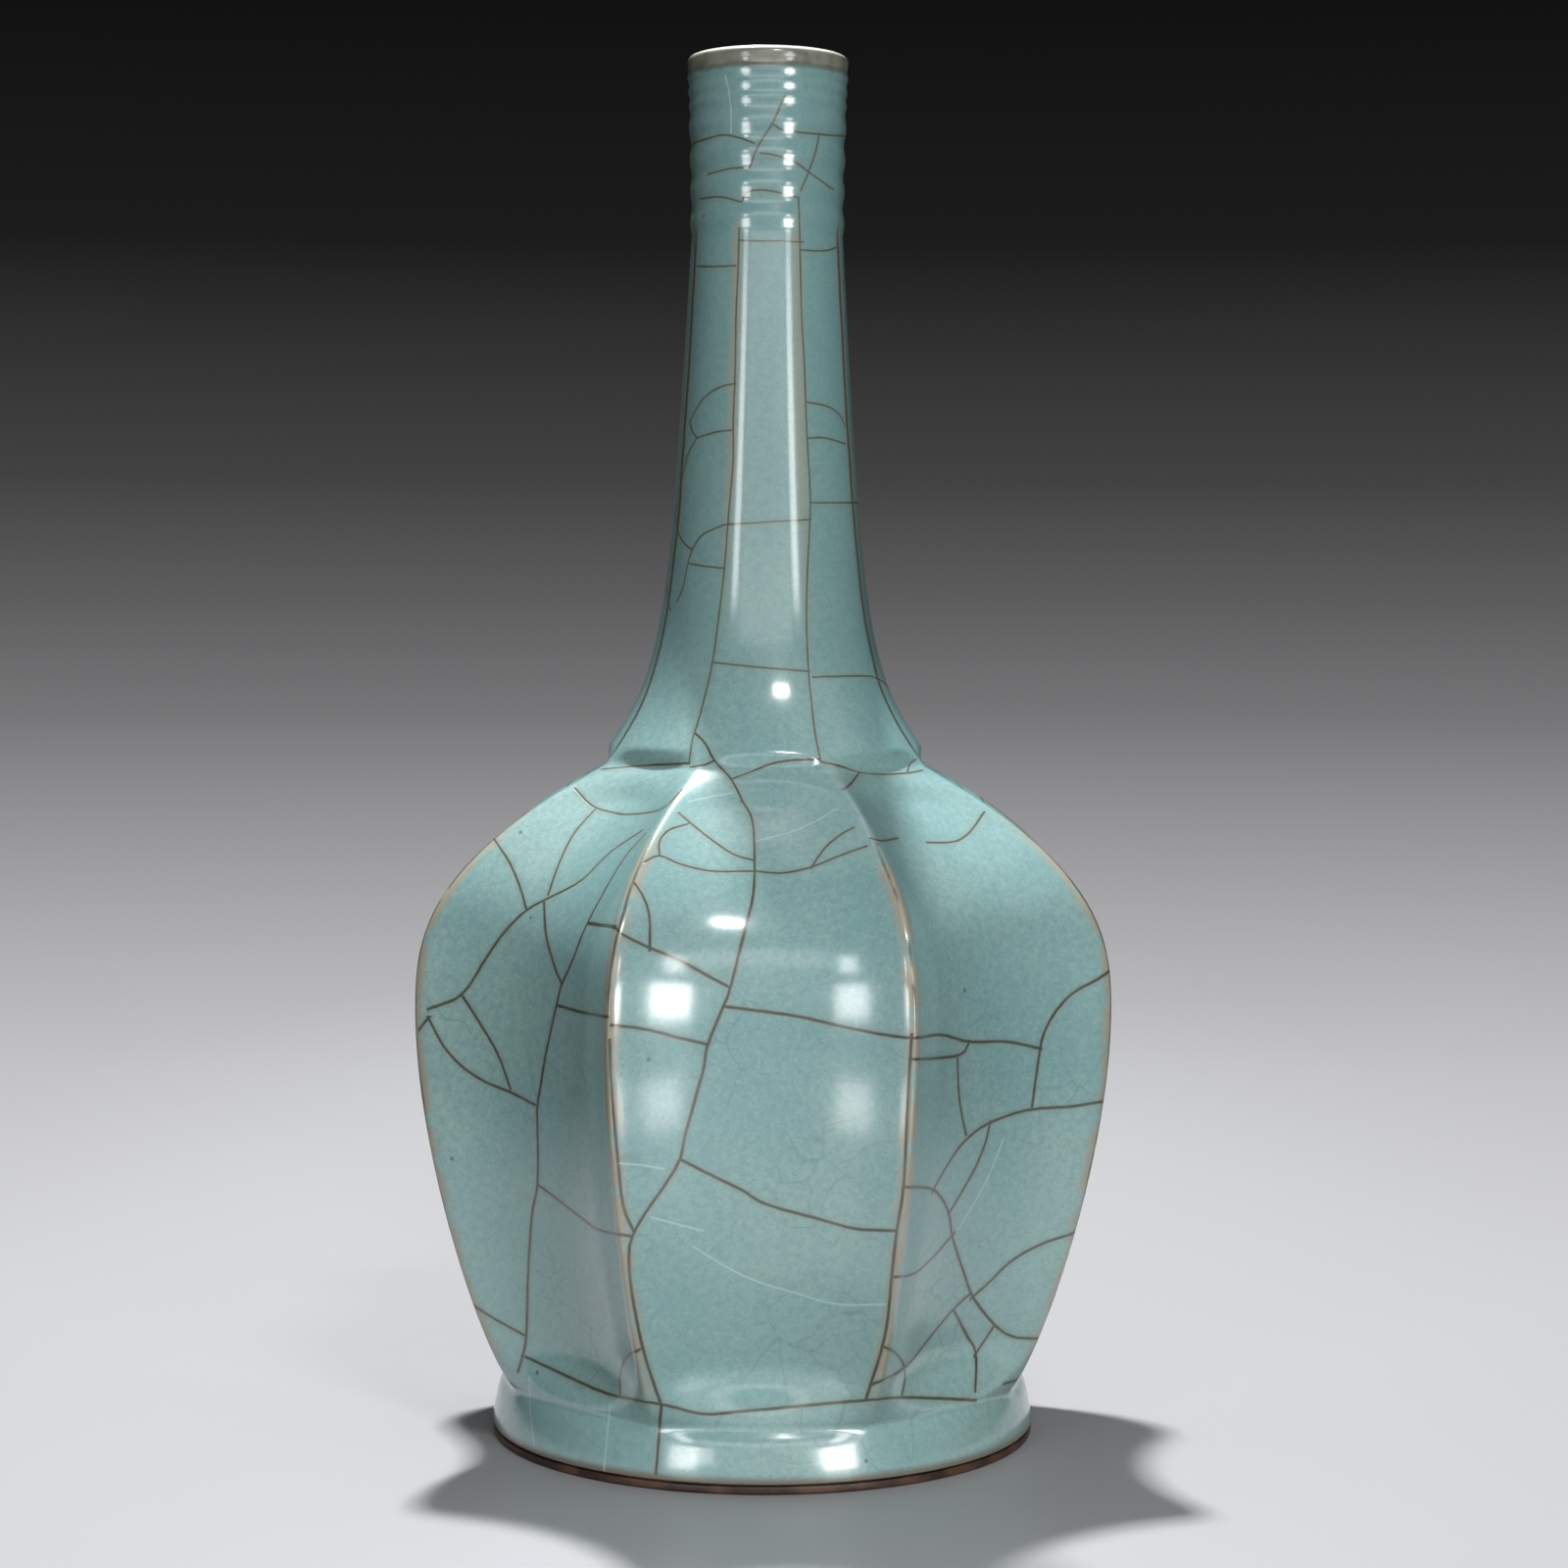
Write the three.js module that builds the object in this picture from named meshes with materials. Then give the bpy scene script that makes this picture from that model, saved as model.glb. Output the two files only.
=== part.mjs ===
// An octagonal long-necked bottle vase in crackled celadon.
// Six clay sections are luted together one on the other, and three coats of glaze lie over them.
// Millimetres, +Z up. The origin is the centre of the foot on the table. A flat of the octagon faces -Y.
import * as THREE from "three";

// Heights of the outline, stacked from the table up
const FOOT_HEIGHT = 12.9;
const BELLY_HEIGHT = 83.1;
const SHOULDER_HEIGHT = 51;
const NECK_HEIGHT = 113.8;
const LIP_HEIGHT = 3.4;

// Widths of the outline, measured over opposite ridges
const FOOT_WIDTH = 118.8;
const WAIST_WIDTH = 115;
const BODY_WIDTH = 159;
const CREASE_WIDTH = 74;
const THROAT_WIDTH = 33;
const LIP_WIDTH = 35;

// The eight panels: hollow on the body, and round on the neck with only a faint ridge
const PANELS = 8;
const BODY_FLAT_WIDTH = 131.6;
const NECK_RIDGE_PROUD = 0.2;
const RIDGE_ROUNDING = 1.1;
const FLUTE_FOOT_RUN = 16;
const FLUTE_FOOT_DROP = 3.4;
const FLUTE_CREASE_RUN = 8;
const COLLAR_TURN_IN = 4;

// Rings left by the thrower's fingers round the mouth
const WIDE_RINGS = 4;
const WIDE_RING_PITCH = 6.7;
const NARROW_RINGS = 3;
const NARROW_RING_PITCH = 3;
const WIDE_RING_DEPTH = 0.4;
const NARROW_RING_DEPTH = 0.25;

// Walls, coats and the clearance between a coat and its clay
const BODY_WALL = 4.2;
const NECK_WALL = 2.6;
const WALL_TAPER_RUN = 36;
const OUTER_GLAZE = 1;
const INNER_GLAZE = 0.7;
const BASE_GLAZE = 0.9;
const CLEARANCE = 0.3;
const LIP_ROUNDING = 1.6;

// The base slab, the foot ring and the bare rim that the vase stands on
const RECESS_DEPTH = 7.4;
const SLAB_THICKNESS = 5;
const FOOT_RING_WIDTH = 7;
const FOOT_RING_DRAFT = 1;
const BARE_RIM_HEIGHT = 1.8;
const RIM_ROUNDING = 0.7;
const RECESS_FILLET = 2;

// Facets round each panel, and rows of them up each stretch of the outline: fine where they show
const SHOWN_FACETS = 6;
const HIDDEN_FACETS = 4;
const SHOWN_ROWS = { foot: 2, belly: 7, shoulder: 8, collar: 3, neck: 6, wideRing: 3, narrowRing: 2 };
const HIDDEN_ROWS = { foot: 1, belly: 4, shoulder: 4, collar: 2, neck: 3, wideRing: 1, narrowRing: 1 };
const INSIDE_ROWS = { foot: 1, belly: 3, shoulder: 3, collar: 2, neck: 3, wideRing: 0.5, narrowRing: 0 };

const wideRingsHeight = WIDE_RINGS * WIDE_RING_PITCH;
const narrowRingsHeight = NARROW_RINGS * NARROW_RING_PITCH;
const ringsHeight = wideRingsHeight + narrowRingsHeight;
const waistZ = FOOT_HEIGHT;
const widestZ = waistZ + BELLY_HEIGHT;
const creaseZ = widestZ + SHOULDER_HEIGHT;
const fluteFootZ = waistZ - FLUTE_FOOT_DROP;
const throatZ = creaseZ + NECK_HEIGHT;
const rimZ = throatZ + ringsHeight + LIP_HEIGHT;
const slabBottomZ = RECESS_DEPTH + BASE_GLAZE + CLEARANCE;
const slabTopZ = slabBottomZ + SLAB_THICKNESS;
const clayInset = OUTER_GLAZE + CLEARANCE;

// One stretch of the outline: each bend is its share of the stretch's height, then of its change in radius
function stretch(from, to, firstBend, secondBend) {
  const bend = ([up, out]) =>
    new THREE.Vector2(from.x + (to.x - from.x) * out, from.y + (to.y - from.y) * up);
  return new THREE.CubicBezierCurve(from, bend(firstBend), bend(secondBend), to);
}

// The outline over the ridges, from the table to the lip
const foot = new THREE.Vector2(FOOT_WIDTH / 2, 0);
const waist = new THREE.Vector2(WAIST_WIDTH / 2, waistZ);
const widest = new THREE.Vector2(BODY_WIDTH / 2, widestZ);
const crease = new THREE.Vector2(CREASE_WIDTH / 2, creaseZ);
const throat = new THREE.Vector2(THROAT_WIDTH / 2, throatZ);
const lip = new THREE.Vector2(LIP_WIDTH / 2, rimZ);
const outline = [
  stretch(foot, waist, [0.36, -0.2], [0.65, 0.54]),
  stretch(waist, widest, [0.08, 0.31], [0.62, 1]),
  stretch(widest, crease, [0.31, 0], [0.6, 0.05]),
  stretch(crease, throat, [0.165, 0.63], [0.165, 0.745]),
  stretch(throat, lip, [0.1, -0.25], [0.55, -0.15]),
];
const POINTS_PER_STRETCH = 120;
const LEAST_ROW = 0.4;
const outlinePoints = outline.flatMap((curve) => curve.getPoints(POINTS_PER_STRETCH));

function smooth(share) {
  return THREE.MathUtils.smoothstep(share, 0, 1);
}

// How far a finger ring stands out at a height: nothing in its grooves, the full depth at its middle
function fingerRing(z) {
  const up = z - throatZ;
  if (up <= 0 || up >= ringsHeight) return 0;
  const isWide = up < wideRingsHeight;
  const turns = isWide ? up / WIDE_RING_PITCH : (up - wideRingsHeight) / NARROW_RING_PITCH;
  const depth = isWide ? WIDE_RING_DEPTH : NARROW_RING_DEPTH;
  return (depth * (1 - Math.cos(2 * Math.PI * turns))) / 2;
}

// The radius over a ridge at a height, read off the outline
function ridgeRadius(z) {
  const last = outlinePoints.length - 1;
  let upper = outlinePoints.findIndex((point) => point.y >= z);
  if (upper < 0) upper = last;
  const above = outlinePoints[upper];
  const below = outlinePoints[Math.max(upper - 1, 0)];
  const share = above.y > below.y ? (z - below.y) / (above.y - below.y) : 0;
  const inside = THREE.MathUtils.clamp(share, 0, 1);
  return THREE.MathUtils.lerp(below.x, above.x, inside) + fingerRing(z);
}

// How far the middle of a panel lies inside its ridges, as a share of the radius over the ridges
const halfPanel = Math.PI / PANELS;
const flatShare = 1 - Math.cos(halfPanel);
function panelShare(z) {
  const deep = 1 - BODY_FLAT_WIDTH / BODY_WIDTH;
  if (z < creaseZ) {
    const atFoot = smooth((z - fluteFootZ) / FLUTE_FOOT_RUN);
    const atCrease = smooth((creaseZ - z) / FLUTE_CREASE_RUN);
    return atFoot * THREE.MathUtils.lerp(flatShare, deep, atCrease);
  }
  const neckShare = NECK_RIDGE_PROUD / ridgeRadius(z);
  const upNeck = smooth((throatZ - z) / NECK_HEIGHT);
  return THREE.MathUtils.lerp(flatShare, neckShare * upNeck, smooth((z - creaseZ) / COLLAR_TURN_IN));
}

function panelRadius(z) {
  return ridgeRadius(z) * (1 - panelShare(z));
}

// The radius left when a ball of the inset's size is rolled along the inside of an outline
const BALL_STEPS = 48;
function rolledIn(radiusAt, z, inset) {
  let radius = Infinity;
  for (let step = 0; step <= BALL_STEPS; step++) {
    const turn = Math.PI * (step / BALL_STEPS - 0.5);
    radius = Math.min(radius, radiusAt(z + inset * Math.sin(turn)) - inset * Math.cos(turn));
  }
  return radius;
}

// Half the angle between two panels where they meet in a ridge
function ridgeHalfAngle(z) {
  const halfChord = ridgeRadius(z) * Math.sin(halfPanel);
  const rise = panelRadius(z) - ridgeRadius(z) * Math.cos(halfPanel);
  return Math.PI / 2 - halfPanel + 2 * Math.atan(rise / halfChord);
}

// Angles round the axis from the middle of the front panel, closer together at the ridges
function sectionAngles(facets) {
  const CROWDING = 1.25;
  const angles = [];
  for (let i = 0; i < PANELS * facets; i++) {
    const panel = Math.floor(i / facets);
    const across = (i % facets) / facets;
    const fromRidge = Math.min(across, 1 - across) * 2;
    const offset = Math.pow(fromRidge, CROWDING) * halfPanel;
    const ridge = (across < 0.5 ? panel : panel + 1) * 2 * halfPanel - halfPanel;
    angles.push(ridge + (across < 0.5 ? offset : -offset));
  }
  return angles;
}

// A level section of the vase, moved in from its surface by an inset: eight arcs that meet in ridges
function section(z, inset, facets, height = z) {
  const panel = inset > 0 ? rolledIn(panelRadius, z, inset) : panelRadius(z);
  const ridgeInset = inset > 0 ? ridgeRadius(z) - rolledIn(ridgeRadius, z, inset) : 0;
  const ridge = ridgeRadius(z) - ridgeInset / Math.sin(ridgeHalfAngle(z));
  const halfChord = ridge * Math.sin(halfPanel);
  const rise = panel - ridge * Math.cos(halfPanel);
  const bow = (panel * 2 * rise) / (halfChord * halfChord + rise * rise);
  const soft = RIDGE_ROUNDING / ridge;
  const widestTurn = Math.hypot(halfPanel, soft) - soft;
  return sectionAngles(facets).map((angle) => {
    const fromMiddle = angle - Math.round(angle / (2 * halfPanel)) * 2 * halfPanel;
    const fromRidge = halfPanel - Math.abs(fromMiddle);
    const turn = halfPanel * (1 - (Math.hypot(fromRidge, soft) - soft) / widestTurn);
    const lean = Math.cos(turn) * (1 - bow);
    const radius = (panel * (2 - bow)) / (lean + Math.sqrt(lean * lean + bow * (2 - bow)));
    return onCircle(radius, angle, height);
  });
}

function onCircle(radius, angle, z) {
  return new THREE.Vector3(radius * Math.sin(angle), -radius * Math.cos(angle), z);
}

// A round section, or a single point where the radius is nothing
function round(radius, z, facets = HIDDEN_FACETS) {
  if (radius === 0) return [new THREE.Vector3(0, 0, z)];
  return sectionAngles(facets).map((angle) => onCircle(radius, angle, z));
}

// The band between two like rings, each facet split from its ridge side below to its panel side above
function evenBand(triangles, first, second) {
  const count = first.length;
  const facets = count / PANELS;
  const rising = first[0].z <= second[0].z;
  for (let i = 0; i < count; i++) {
    const next = (i + 1) % count;
    const leavesRidge = i % facets < facets / 2;
    if (leavesRidge === rising) {
      triangles.push(first[i], first[next], second[next], first[i], second[next], second[i]);
    } else {
      triangles.push(first[i], first[next], second[i], first[next], second[next], second[i]);
    }
  }
}

// The band between two rings that have different numbers of points, one of which may be a single point
function mixedBand(triangles, first, second) {
  const firstEnd = first.length > 1 ? first.length : 0;
  const secondEnd = second.length > 1 ? second.length : 0;
  let i = 0;
  let j = 0;
  while (i < firstEnd || j < secondEnd) {
    const firstIsNext = (i + 0.5) / first.length <= (j + 0.5) / second.length;
    const alongFirst = j === secondEnd || (i < firstEnd && firstIsNext);
    const here = first[i % first.length];
    const there = second[j % second.length];
    if (alongFirst) i += 1;
    else j += 1;
    triangles.push(here, alongFirst ? first[i % first.length] : second[j % second.length], there);
  }
}

function band(triangles, first, second) {
  const join = first.length === second.length ? evenBand : mixedBand;
  join(triangles, first, second);
}

// A solid lofted through rings that go out and up its outer side, and in and down its inner side
function loft(rings, closed = true) {
  const triangles = [];
  for (let i = 0; i + 1 < rings.length; i++) band(triangles, rings[i], rings[i + 1]);
  if (closed) band(triangles, rings[rings.length - 1], rings[0]);
  return new THREE.BufferGeometry().setFromPoints(triangles);
}

// Heights that the rings of a surface are set at, between two levels
function levels(bottom, top, rows) {
  const marks = [slabBottomZ, slabTopZ, fluteFootZ];
  for (const share of [0.4, 0.7, 1]) marks.push(fluteFootZ + FLUTE_FOOT_RUN * share);
  for (const share of [0.5, 1]) marks.push(creaseZ - FLUTE_CREASE_RUN * share);
  const stretchRows = [rows.foot, rows.belly, rows.shoulder, rows.neck];
  stretchRows.forEach((count, index) => {
    for (let i = 0; i <= count; i++) marks.push(outline[index].getPoint(i / count).y);
  });
  for (let i = 1; i <= rows.collar; i++) marks.push(creaseZ + (COLLAR_TURN_IN * i) / rows.collar);
  const wideMarks = WIDE_RINGS * rows.wideRing;
  for (let i = 0; i < wideMarks; i++) marks.push(throatZ + (wideRingsHeight * i) / wideMarks);
  const narrowMarks = NARROW_RINGS * rows.narrowRing;
  for (let i = 0; i < narrowMarks; i++) {
    marks.push(throatZ + wideRingsHeight + (narrowRingsHeight * i) / narrowMarks);
  }
  const inside = marks.filter((z) => z > bottom + LEAST_ROW && z < top - LEAST_ROW);
  inside.sort((a, b) => a - b);
  const spaced = inside.filter((z, i) => i === 0 || z - inside[i - 1] > LEAST_ROW);
  return [bottom, ...spaced, top];
}

// The clay wall is thick in the body and thins up the neck
function wallInset(z) {
  const upNeck = smooth((z - creaseZ) / WALL_TAPER_RUN);
  return clayInset + THREE.MathUtils.lerp(BODY_WALL, NECK_WALL, upNeck);
}

function outsideRings(bottom, top, inset, rows = HIDDEN_ROWS, facets = HIDDEN_FACETS) {
  return levels(bottom, top, rows).map((z) => section(z, inset, facets));
}

function insideRings(bottom, top, extra) {
  const rings = levels(bottom, top, INSIDE_ROWS).map((z) => section(z, wallInset(z) + extra, HIDDEN_FACETS));
  return rings.reverse();
}

// A clay section of the wall between two levels, flat where it is luted to its neighbours
function wallSection(bottom, top) {
  return loft([...outsideRings(bottom, top, clayInset), ...insideRings(bottom, top, 0)]);
}

// The thrown mouth, whose clay stops under the glaze of the lip
const clayRimZ = rimZ - clayInset;
const lipRadius = LIP_WIDTH / 2;
const boreRadius = lipRadius - clayInset - NECK_WALL - CLEARANCE - INNER_GLAZE;
const lipMiddle = (lipRadius + boreRadius) / 2;
function mouthSection() {
  const edge = (LIP_ROUNDING - OUTER_GLAZE) / 2;
  const outer = lipRadius - clayInset;
  const inner = outer - NECK_WALL;
  return loft([
    ...outsideRings(throatZ, clayRimZ - edge, clayInset),
    round(outer - edge, clayRimZ),
    round(inner + edge, clayRimZ),
    ...insideRings(throatZ, clayRimZ - edge, 0),
  ]);
}

// The flat slab that closes the body, with its edge at the waist under the glaze
function baseSlab() {
  const edge = outsideRings(slabBottomZ, slabTopZ, clayInset);
  return loft([round(0, slabBottomZ), ...edge, round(0, slabTopZ)], false);
}

// The foot ring, whose lowest part is left bare and stands out to the face of the glaze
const recessRadius = FOOT_WIDTH / 2 - FOOT_RING_WIDTH;
function footRing() {
  const rimRadius = FOOT_WIDTH / 2;
  const half = RIM_ROUNDING / 2;
  return loft([
    round(rimRadius - RIM_ROUNDING, 0, SHOWN_FACETS),
    round(rimRadius - half / 2, half / 2, SHOWN_FACETS),
    round(rimRadius, RIM_ROUNDING, SHOWN_FACETS),
    round(rimRadius, BARE_RIM_HEIGHT - half, SHOWN_FACETS),
    round(rimRadius - half, BARE_RIM_HEIGHT, SHOWN_FACETS),
    ...outsideRings(BARE_RIM_HEIGHT, slabBottomZ, clayInset),
    round(recessRadius - FOOT_RING_DRAFT, slabBottomZ),
    round(recessRadius, 0, SHOWN_FACETS),
  ]);
}

// The outer coat, from just above the bare rim over the lip to its middle
function outerGlaze() {
  const bottom = BARE_RIM_HEIGHT + CLEARANCE;
  const corner = lipRadius - LIP_ROUNDING;
  const innerRounding = LIP_ROUNDING - OUTER_GLAZE;
  const diagonal = Math.SQRT1_2;
  return loft([
    ...outsideRings(bottom, rimZ - LIP_ROUNDING, 0, SHOWN_ROWS, SHOWN_FACETS),
    round(corner + LIP_ROUNDING * diagonal, rimZ - LIP_ROUNDING * (1 - diagonal), SHOWN_FACETS),
    round(corner, rimZ, SHOWN_FACETS),
    round(lipMiddle, rimZ),
    round(lipMiddle, rimZ - OUTER_GLAZE),
    round(corner, rimZ - OUTER_GLAZE),
    round(corner + innerRounding * diagonal, rimZ - OUTER_GLAZE - innerRounding * (1 - diagonal)),
    ...outsideRings(bottom, rimZ - LIP_ROUNDING, OUTER_GLAZE).reverse(),
  ]);
}

// The inner coat, poured in and out: it covers the floor, the wall and the inner half of the lip
function innerGlaze() {
  const floorZ = slabTopZ + CLEARANCE;
  const top = rimZ - LIP_ROUNDING;
  const outerFace = lipRadius - clayInset - NECK_WALL - CLEARANCE;
  const lipEdge = lipMiddle - CLEARANCE;
  return loft(
    [
      round(0, floorZ),
      ...insideRings(floorZ, top, CLEARANCE).reverse(),
      round(outerFace, rimZ - OUTER_GLAZE),
      round(lipEdge, rimZ - OUTER_GLAZE),
      round(lipEdge, rimZ),
      round(boreRadius + INNER_GLAZE, rimZ - INNER_GLAZE / 3),
      ...insideRings(floorZ + INNER_GLAZE, top, CLEARANCE + INNER_GLAZE),
      round(0, floorZ + INNER_GLAZE),
    ],
    false,
  );
}

// The coat in the recess under the base, which stops short of the bare rim
function baseGlaze() {
  const ceilingZ = RECESS_DEPTH;
  const topZ = ceilingZ + BASE_GLAZE;
  const edgeZ = BARE_RIM_HEIGHT + CLEARANCE;
  const bendZ = ceilingZ - RECESS_FILLET;
  const outerAt = (z) => recessRadius - CLEARANCE - (FOOT_RING_DRAFT * z) / slabBottomZ;
  const innerAt = (z) => outerAt(z) - BASE_GLAZE;
  return loft(
    [
      round(0, ceilingZ),
      round(innerAt(ceilingZ) - RECESS_FILLET, ceilingZ),
      round(innerAt(ceilingZ) - RECESS_FILLET / 3, ceilingZ - RECESS_FILLET / 3),
      round(innerAt(bendZ), bendZ),
      round(innerAt(edgeZ), edgeZ),
      round(outerAt(edgeZ), edgeZ),
      round(outerAt(topZ), topZ),
      round(0, topZ),
    ],
    false,
  );
}

// Finishes
const celadon = { color: 0x87aaa8, roughness: 0.1, metalness: 0 };
const insideCeladon = { color: 0x7f9f9c, roughness: 0.16, metalness: 0 };
const stoneware = { color: 0x776557, roughness: 0.85, metalness: 0 };
const bareRim = { color: 0x4a2f22, roughness: 0.55, metalness: 0 };

const vase = new THREE.Group();
function add(name, geometry, finish) {
  const mesh = new THREE.Mesh(geometry, new THREE.MeshStandardMaterial(finish));
  mesh.name = name;
  vase.add(mesh);
}

add("foot_ring", footRing(), bareRim);
add("base_slab", baseSlab(), stoneware);
add("belly_section", wallSection(slabTopZ, widestZ), stoneware);
add("shoulder_section", wallSection(widestZ, creaseZ), stoneware);
add("neck_section", wallSection(creaseZ, throatZ), stoneware);
add("mouth_section", mouthSection(), stoneware);
add("outer_glaze", outerGlaze(), celadon);
add("inner_glaze", innerGlaze(), insideCeladon);
add("base_glaze", baseGlaze(), insideCeladon);

export default vase;
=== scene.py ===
# An octagonal long-necked bottle vase in crackled celadon, dressed for the render.
# Lengths are in millimetres until a mesh is made, and the vase stands on z = 0 with a panel facing -Y.
import math
import random

import bmesh
import bpy
import numpy as np
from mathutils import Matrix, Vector
from mathutils.bvhtree import BVHTree


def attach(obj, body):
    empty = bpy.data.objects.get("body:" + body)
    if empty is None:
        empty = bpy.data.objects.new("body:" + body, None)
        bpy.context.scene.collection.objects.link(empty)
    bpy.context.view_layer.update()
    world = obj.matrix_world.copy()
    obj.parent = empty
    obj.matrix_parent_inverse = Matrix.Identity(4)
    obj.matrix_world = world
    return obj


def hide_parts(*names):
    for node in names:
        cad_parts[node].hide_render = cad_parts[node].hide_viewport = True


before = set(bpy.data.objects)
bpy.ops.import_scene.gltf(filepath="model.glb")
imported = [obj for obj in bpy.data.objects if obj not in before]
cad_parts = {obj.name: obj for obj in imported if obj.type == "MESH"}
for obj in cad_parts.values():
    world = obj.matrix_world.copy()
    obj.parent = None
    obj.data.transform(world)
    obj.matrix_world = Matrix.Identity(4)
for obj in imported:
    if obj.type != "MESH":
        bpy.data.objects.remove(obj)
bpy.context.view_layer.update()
MM = 0.001

# THE CLAY
# Five thrown sections of grey-brown stoneware, luted one on the other from the base slab to the mouth.
# Glaze covers all of them, so they keep their solids and get only a rough, speckled clay.


class Shade:
    """A socket of a finish. Sums on it add the Math nodes that work them out."""

    def __init__(self, finish, socket):
        self.finish = finish
        self.socket = socket

    def maths(self, operation, *parts):
        return self.finish.node("ShaderNodeMath", {"operation": operation}, dict(enumerate(parts)))

    def __add__(self, other):
        return self.maths("ADD", self, other)

    def __sub__(self, other):
        return self.maths("SUBTRACT", self, other)

    def __rsub__(self, other):
        return self.maths("SUBTRACT", other, self)

    def __mul__(self, other):
        return self.maths("MULTIPLY", self, other)

    __radd__ = __add__
    __rmul__ = __mul__

    def __abs__(self):
        return self.maths("ABSOLUTE", self)

    def most(self, other):
        return self.maths("MAXIMUM", self, other)

    def least(self, other):
        return self.maths("MINIMUM", self, other)

    def ease(self, low, high):
        """Rises smoothly from 0 at low to 1 at high, or falls where low is the larger."""
        settings = {"interpolation_type": "SMOOTHSTEP"}
        rise = self.finish.node("ShaderNodeMapRange", settings, {0: self, 1: min(low, high), 2: max(low, high)})
        return rise if low < high else 1 - rise


class Finish:
    """A material, or the world, and the one method that adds a node to it."""

    def __init__(self, name, kind="materials"):
        self.material = getattr(bpy.data, kind).new(name)
        self.material.use_nodes = True
        self.tree = self.material.node_tree
        self.tree.nodes.clear()
        self.place = self.node("ShaderNodeTexCoord", out="Object" if kind == "materials" else "Generated")

    def node(self, kind, settings=None, sockets=None, out=0):
        made = self.tree.nodes.new(kind)
        for name, value in (settings or {}).items():
            setattr(made, name, value)
        for name, value in (sockets or {}).items():
            if isinstance(value, Shade):
                self.tree.links.new(value.socket, made.inputs[name])
            elif made.inputs[name].type == "RGBA":
                made.inputs[name].default_value = (*value, 1)
            else:
                made.inputs[name].default_value = value
        return Shade(self, made.outputs[out]) if out is not None else None

    def lay(self, share, under, over, mode="MIX"):
        """One colour laid over another by a share."""
        settings = {"data_type": "RGBA", "blend_type": mode}
        return self.node("ShaderNodeMix", settings, {0: share, 6: under, 7: over}, out=2)

    def cloud(self, scale, detail=2, place=None):
        """Smooth noise about 0.5, in cells of 1 / scale metres."""
        return self.node("ShaderNodeTexNoise", None, {"Vector": place or self.place, "Scale": scale, "Detail": detail})

    def axes(self, vector):
        """The three numbers of a vector."""
        apart = self.node("ShaderNodeSeparateXYZ", None, {0: vector})
        return [Shade(self, axis) for axis in apart.socket.node.outputs]

    def carried(self, name):
        """A vector that the mesh carries."""
        return self.node("ShaderNodeAttribute", {"attribute_name": name}, out="Vector")

    def bent(self, scale, far):
        """The place, pushed about by noise as far as so many metres."""
        push = self.node("ShaderNodeTexNoise", None, {"Vector": self.place, "Scale": scale, "Detail": 2}, out="Color")
        return self.node("ShaderNodeVectorMath", {"operation": "MULTIPLY_ADD"}, {0: push, 1: (2 * far,) * 3, 2: self.place})

    def end(self, shader):
        self.node("ShaderNodeOutputMaterial" if self.place.socket.name == "Object" else "ShaderNodeOutputWorld",
                  None, {"Surface": shader}, out=None)
        return self.material

    def dress(self, sockets):
        """Ends the finish in a shader with these sockets, and gives its material."""
        return self.end(self.node("ShaderNodeBsdfPrincipled", None, sockets))


def srgb(red, green, blue):
    """A colour read as 0 to 255, as the shader wants it."""
    shares = [channel / 255 for channel in (red, green, blue)]
    return tuple(share / 12.92 if share <= 0.04045 else ((share + 0.055) / 1.055) ** 2.4 for share in shares)


clay = Finish("stoneware_clay")
grit = clay.node("ShaderNodeTexVoronoi", None, {"Vector": clay.place, "Scale": 900.0})
clay_body = clay.lay(clay.cloud(60, 5), srgb(132, 116, 98), srgb(104, 88, 74))
clay_relief = {"Strength": 0.35, "Distance": 0.0002, "Height": clay.cloud(1400, 4)}
clay.dress({
    "Base Color": clay.lay(grit.ease(0.22, 0.1), clay_body, srgb(66, 52, 42)),
    "Roughness": 0.9,
    "Normal": clay.node("ShaderNodeBump", None, clay_relief),
})
for section_name in ("base_slab", "belly_section", "shoulder_section", "neck_section", "mouth_section"):
    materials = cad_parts[section_name].data.materials
    materials.clear()
    materials.append(clay.material)

# THE FOOT RING
# Turned from the same clay. The glaze is wiped off its lowest 2 mm, and the bare rim fires dark and coppery.
# The shape of the whole wall starts here, from the sizes that the vase was made to.
PANELS = 8
HALF_PANEL = math.pi / PANELS
OUTLINE_POINTS = [(59.4, 0), (57.5, 12.9), (79.5, 96), (37, 147), (16.5, 260.8), (17.5, 300)]
OUTLINE_BENDS = [
    ((0.36, -0.2), (0.65, 0.54)),
    ((0.08, 0.31), (0.62, 1)),
    ((0.31, 0), (0.6, 0.05)),
    ((0.165, 0.63), (0.165, 0.745)),
    ((0.1, -0.25), (0.55, -0.15)),
]
WIDEST_RADIUS = 79.5
FLAT_RADIUS = 65.8
CREASE_Z = 147
THROAT_Z = 260.8
RIM_Z = 300
FLUTE_FOOT_Z = 9.5
FLUTE_FOOT_RUN = 16
FLUTE_CREASE_RUN = 8
COLLAR_TURN_IN = 4
NECK_RIDGE_PROUD = 0.2
RIDGE_ROUNDING = 1.1


def stretch(start, end, first_bend, second_bend):
    """Points up one stretch of the outline. A bend is its share of the height, then of the change in radius."""
    share = np.linspace(0, 1, 121)[:, None]
    start, end = np.array(start, float), np.array(end, float)
    first = start + (end - start) * np.array(first_bend[::-1])
    second = start + (end - start) * np.array(second_bend[::-1])
    back = 1 - share
    return back**3 * start + 3 * back**2 * share * first + 3 * back * share**2 * second + share**3 * end


outline = np.concatenate([
    stretch(OUTLINE_POINTS[i], OUTLINE_POINTS[i + 1], *bends) for i, bends in enumerate(OUTLINE_BENDS)
])


def smooth(share):
    share = np.clip(share, 0, 1)
    return share * share * (3 - 2 * share)


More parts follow.
